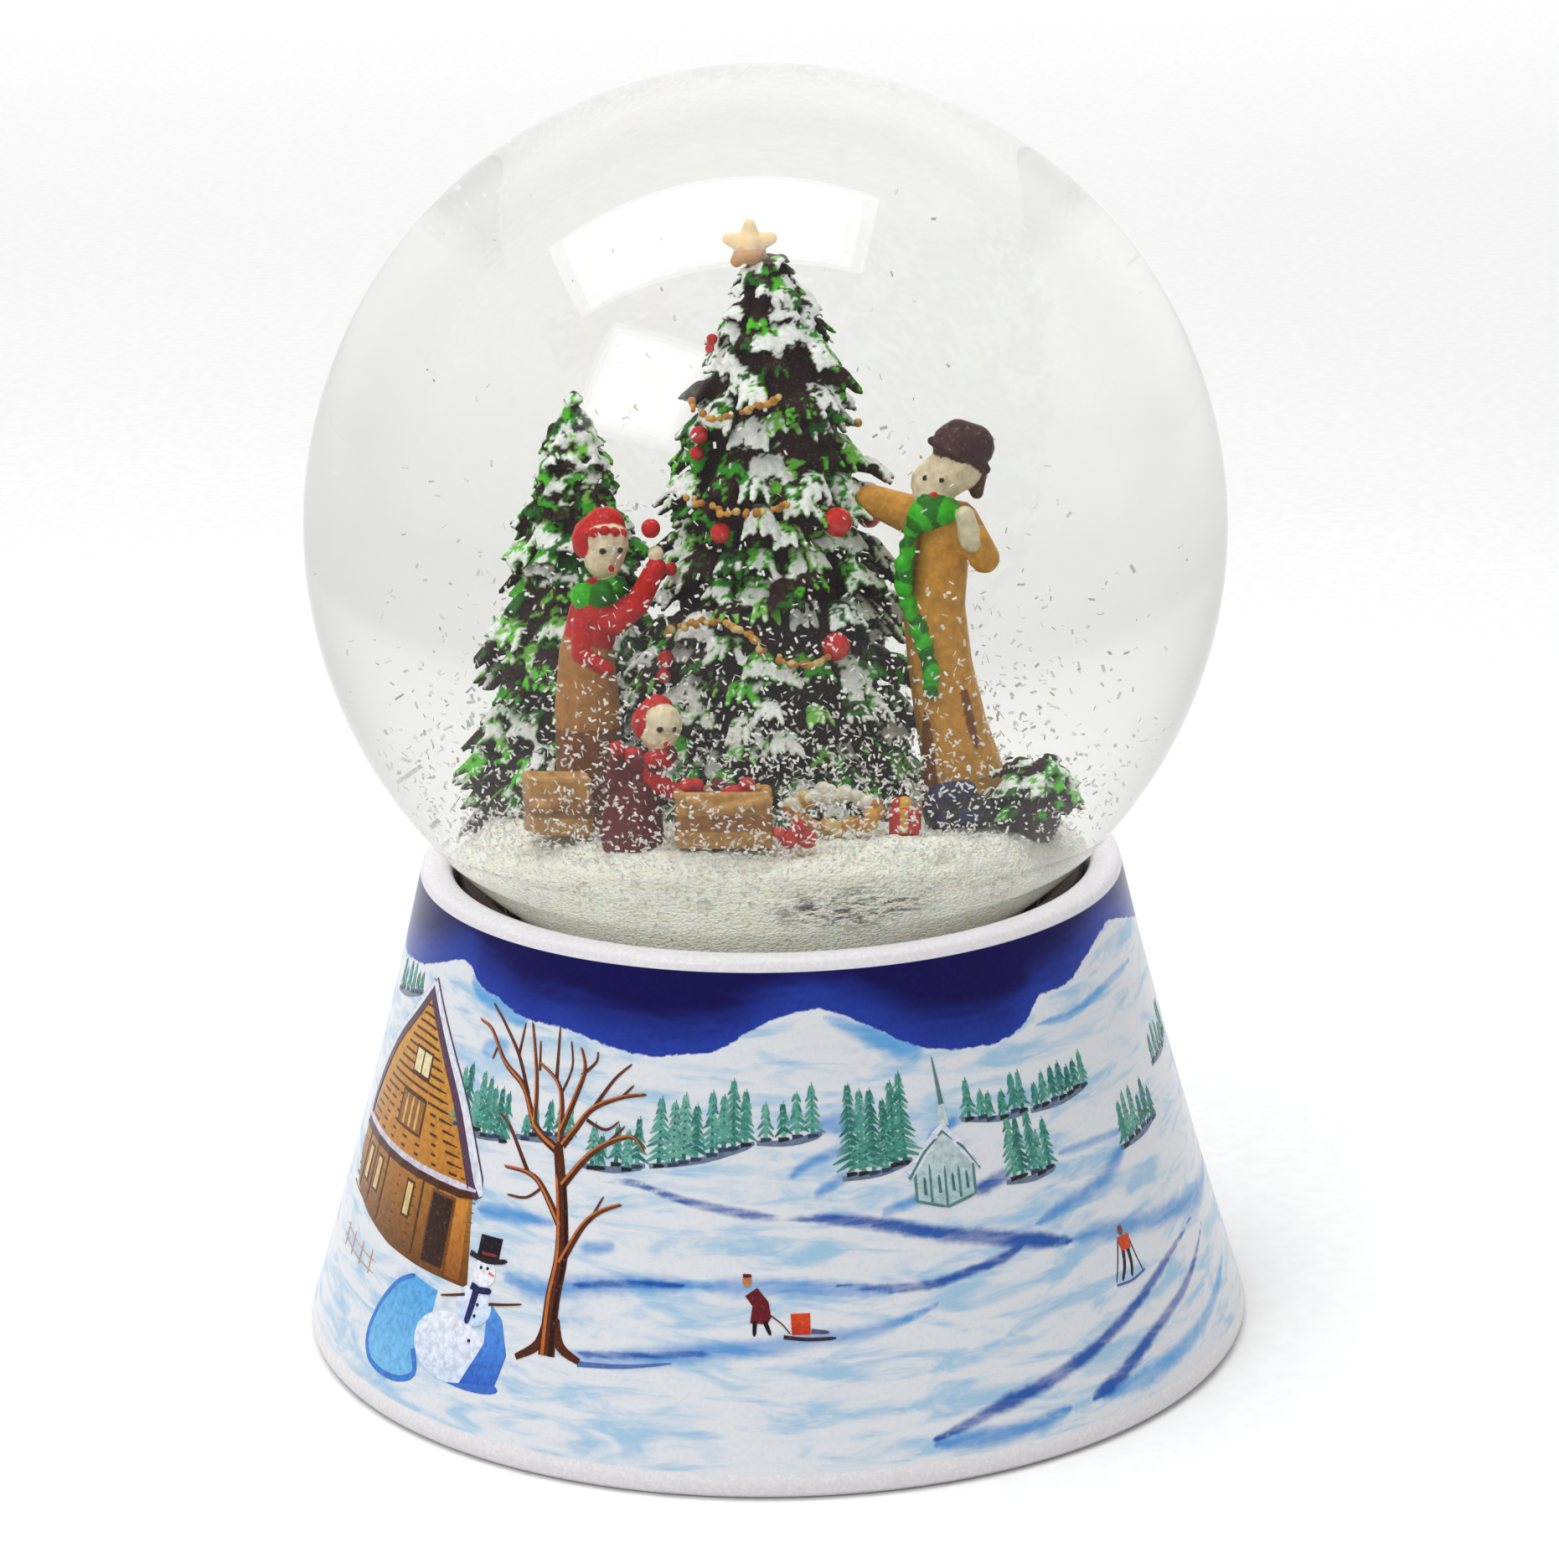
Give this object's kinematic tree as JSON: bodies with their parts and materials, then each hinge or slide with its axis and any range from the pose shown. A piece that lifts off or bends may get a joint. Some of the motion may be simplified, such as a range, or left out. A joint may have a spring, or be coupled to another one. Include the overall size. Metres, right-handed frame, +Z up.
{
  "type": "musical snow globe",
  "caption": "Liquid-filled glass snow globe with a winter scene, on a flared glazed base that holds a wind-up music movement.",
  "frame": {"origin": "centre of the foot ring, on the surface the globe stands on", "axes": "+Z up through the centre of the globe, -Y towards the front of the scene, +X to the viewer's right"},
  "size_m": [0.1062, 0.1062, 0.1404],
  "materials": {
    "glazed_porcelain": "glossy glaze over a blue winter print",
    "globe_glass": "clear polished",
    "clear_liquid": "clear liquid",
    "black_plastic": "moulded satin",
    "black_rubber": "matte",
    "sealant": "cured silicone",
    "white_resin": "cast resin, snow texture",
    "snow_flakes": "loose white flakes",
    "fir_green": "painted resin, snow tipped",
    "gilt_paint": "gilt paint",
    "figure_resin": "hand painted resin",
    "red_resin": "hand painted resin",
    "card_resin": "painted resin, cardboard look",
    "dark_cloth": "painted resin, cloth look",
    "movement_steel": "brushed",
    "spring_steel": "blued",
    "movement_brass": "polished",
    "movement_zinc": "zinc die casting",
    "white_nylon": "moulded nylon",
    "clear_cover": "clear moulded cover"
  },
  "bodies": {
    "base": {"base_shell": "glazed_porcelain", "base_plate": "black_plastic", "plate_screw_1": "movement_steel", "plate_screw_2": "movement_steel", "plate_screw_3": "movement_steel", "globe_holder": "black_plastic", "neck_sealant": "sealant", "rubber_stopper": "black_rubber", "glass_globe": "globe_glass", "liquid_fill": "clear_liquid", "snow_mound": "white_resin", "settled_flakes": "snow_flakes", "large_tree": "fir_green", "tree_star": "gilt_paint", "small_tree": "fir_green", "man_figure": "figure_resin", "woman_figure": "red_resin", "child_figure": "red_resin", "left_box": "card_resin", "ornament_box": "card_resin", "bead_wreath": "gilt_paint", "toy_parcel": "red_resin", "gift_sack": "dark_cloth", "fir_cuttings": "fir_green", "berry_sprig": "red_resin", "mainspring": "spring_steel", "spring_housing": "movement_zinc", "bedplate": "movement_zinc", "gear_bracket": "movement_zinc", "governor_frame": "movement_zinc", "music_comb": "movement_steel", "comb_screw_1": "movement_steel", "comb_screw_2": "movement_steel", "movement_cover": "clear_cover"},
    "winder": {"winding_key": "movement_brass", "winding_arbor": "movement_steel", "great_wheel": "movement_brass"},
    "drum": {"music_drum": "movement_brass", "drum_pinion": "movement_steel", "drum_gear": "white_nylon"},
    "governor_wheel": {"governor_pinion": "movement_steel", "worm_wheel": "white_nylon"},
    "governor_fan": {"governor_worm": "white_nylon", "air_brake": "movement_steel"}
  },
  "joints": [
    {"name": "winding", "type": "hinge", "parent": "base", "child": "winder", "pos_m": [0, 0, 0.005], "axis": [0, 0, 1], "continuous": true},
    {"name": "drum_spin", "type": "hinge", "parent": "base", "child": "drum", "pos_m": [0.02, 0, 0.0233], "axis": [1, 0, 0], "continuous": true},
    {"name": "governor_wheel_spin", "type": "hinge", "parent": "base", "child": "governor_wheel", "pos_m": [0.03, 0.01, 0.0233], "axis": [1, 0, 0], "continuous": true},
    {"name": "governor_fan_spin", "type": "hinge", "parent": "base", "child": "governor_fan", "pos_m": [0.03, 0.0158, 0.0233], "axis": [0, 0, 1], "continuous": true}
  ],
  "couplings": [
    {"joint": "drum_spin", "follows": "winding", "ratio": 3},
    {"joint": "governor_wheel_spin", "follows": "winding", "ratio": -12},
    {"joint": "governor_fan_spin", "follows": "winding", "ratio": 288}
  ]
}
